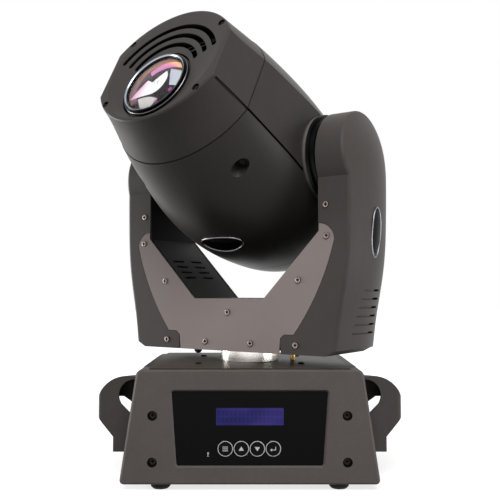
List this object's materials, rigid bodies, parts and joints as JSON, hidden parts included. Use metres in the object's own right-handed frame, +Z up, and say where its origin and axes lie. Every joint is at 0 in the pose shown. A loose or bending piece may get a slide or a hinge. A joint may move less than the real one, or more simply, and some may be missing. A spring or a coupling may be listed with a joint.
{
  "type": "moving head light",
  "caption": "Moving head stage light: a barrel-shaped lamp head that tilts between the arms of a yoke, which pans on a box base with a control panel and carrying handles.",
  "frame": {"origin": "on the pan axis at the underside of the base tray, where a hanging bracket bolts on; the rubber feet reach below it", "axes": "+Z up along the pan axis, -Y towards the base's control panel, +X to the right of someone facing the panel"},
  "size_m": [0.305, 0.2986, 0.4602],
  "materials": {
    "housing": "warm dark grey moulded plastic with a fine grain",
    "cap": "warm dark grey moulded plastic with a fine grain",
    "collar_plastic": "dark satin plastic",
    "yoke_paint": "mauve grey paint on sheet metal",
    "inner_paint": "dark grey paint on sheet metal",
    "tray_paint": "black paint on sheet metal",
    "cover_paint": "gloss black paint",
    "gloss_black": "gloss black panel",
    "lcd": "blue display window",
    "button": "satin black key with a light rim",
    "rubber": "matt black",
    "belt": "black toothed belt",
    "board": "green circuit board",
    "supply": "plain sheet case",
    "galvanised": "zinc plated steel sheet",
    "steel": "turned steel",
    "screw": "dark steel screws",
    "silver": "satin turned aluminium",
    "brass": "turned brass",
    "motor": "black motor case with plain ends",
    "black_metal": "satin black",
    "fin": "extruded aluminium",
    "fan": "black moulded plastic",
    "lamp": "light source on its carrier",
    "disc": "sheet aluminium disc",
    "glass": "coated optical glass",
    "socket": "black connector body",
    "panel_paint": "black paint on sheet metal"
  },
  "bodies": {
    "base": {"base_tray": "tray_paint", "front_bezel": "housing", "rear_bezel": "housing", "left_handle": "housing", "right_handle": "housing", "top_cover": "cover_paint", "rubber_feet": "rubber", "control_panel": "gloss_black", "lcd_module": "lcd", "control_board": "board", "connector_panel": "panel_paint", "power_inlet": "socket", "dmx_sockets": "socket", "power_supply": "supply", "pan_hub": "steel", "pan_pulley": "silver", "pan_stop_pin": "brass", "base_screws": "screw"},
    "mode_key": {"mode_button": "button"},
    "up_key": {"up_button": "button"},
    "down_key": {"down_button": "button"},
    "enter_key": {"enter_button": "button"},
    "yoke": {"pan_bearing": "steel", "pan_collar": "silver", "yoke_frame": "galvanised", "front_yoke_plate": "yoke_paint", "rear_yoke_plate": "yoke_paint", "inner_cover": "inner_paint", "left_arm_cover": "housing", "right_arm_cover": "housing", "pan_motor": "motor", "pan_belt": "belt", "tilt_motor": "motor", "tilt_belt": "belt", "tilt_bearings": "steel", "driver_board": "board", "yoke_bumper": "rubber", "yoke_screws": "screw"},
    "pan_drive": {"pan_pinion": "silver"},
    "tilt_drive": {"tilt_pinion": "silver"},
    "head": {"front_cap": "cap", "upper_shell": "housing", "lower_shell": "housing", "rear_cap": "housing", "tilt_collars": "collar_plastic", "tilt_shafts": "steel", "tilt_pulley": "silver", "head_chassis": "galvanised", "lens_barrel": "black_metal", "front_lens": "glass", "optics_motors": "motor", "led_module": "lamp", "heat_sink": "fin", "fan_housing": "fan", "head_screws": "screw"},
    "fan": {"fan_rotor": "fan"},
    "colors": {"color_wheel": "disc"},
    "gobos": {"gobo_wheel": "disc"},
    "focus": {"focus_carriage": "silver", "focus_lens": "glass"}
  },
  "joints": [
    {"name": "pan", "type": "hinge", "parent": "base", "child": "yoke", "pos_m": [0, 0, 0], "axis": [0, 0, 1], "range_deg": [-235, 305]},
    {"name": "tilt", "type": "hinge", "parent": "yoke", "child": "head", "pos_m": [0, 0, 0.3164], "axis": [0.8192, -0.5736, 0], "range_deg": [-186.2, 63.8]},
    {"name": "mode_press", "type": "slide", "parent": "base", "child": "mode_key", "axis": [0, 1, 0], "range_m": [0, 0.0005], "stiffness_N_per_m": 600, "springref_m": -0.0005},
    {"name": "up_press", "type": "slide", "parent": "base", "child": "up_key", "axis": [0, 1, 0], "range_m": [0, 0.0005], "stiffness_N_per_m": 600, "springref_m": -0.0005},
    {"name": "down_press", "type": "slide", "parent": "base", "child": "down_key", "axis": [0, 1, 0], "range_m": [0, 0.0005], "stiffness_N_per_m": 600, "springref_m": -0.0005},
    {"name": "enter_press", "type": "slide", "parent": "base", "child": "enter_key", "axis": [0, 1, 0], "range_m": [0, 0.0005], "stiffness_N_per_m": 600, "springref_m": -0.0005},
    {"name": "pan_pinion_spin", "type": "hinge", "parent": "yoke", "child": "pan_drive", "pos_m": [-0.06062, 0.04244, 0.164], "axis": [0, 0, 1], "range_deg": [-1225, 945]},
    {"name": "tilt_pinion_spin", "type": "hinge", "parent": "yoke", "child": "tilt_drive", "pos_m": [0.09011, -0.06309, 0.165], "axis": [0.8192, -0.5736, 0], "range_deg": [-750, 260]},
    {"name": "fan_spin", "type": "hinge", "parent": "head", "child": "fan", "pos_m": [0.03983, 0.05689, 0.27251], "axis": [-0.5026, -0.7178, 0.4818], "continuous": true},
    {"name": "color_wheel_spin", "type": "hinge", "parent": "head", "child": "colors", "pos_m": [-0.00422, -0.00603, 0.33414], "axis": [-0.5026, -0.7178, 0.4818], "continuous": true},
    {"name": "gobo_wheel_spin", "type": "hinge", "parent": "head", "child": "gobos", "pos_m": [-0.00925, -0.01321, 0.33896], "axis": [-0.5026, -0.7178, 0.4818], "continuous": true},
    {"name": "focus_travel", "type": "slide", "parent": "head", "child": "focus", "axis": [-0.5026, -0.7178, 0.4818], "range_m": [-0.008, 0.006]}
  ],
  "couplings": [
    {"joint": "pan_pinion_spin", "follows": "pan", "ratio": -4},
    {"joint": "tilt_pinion_spin", "follows": "tilt", "ratio": 4}
  ]
}
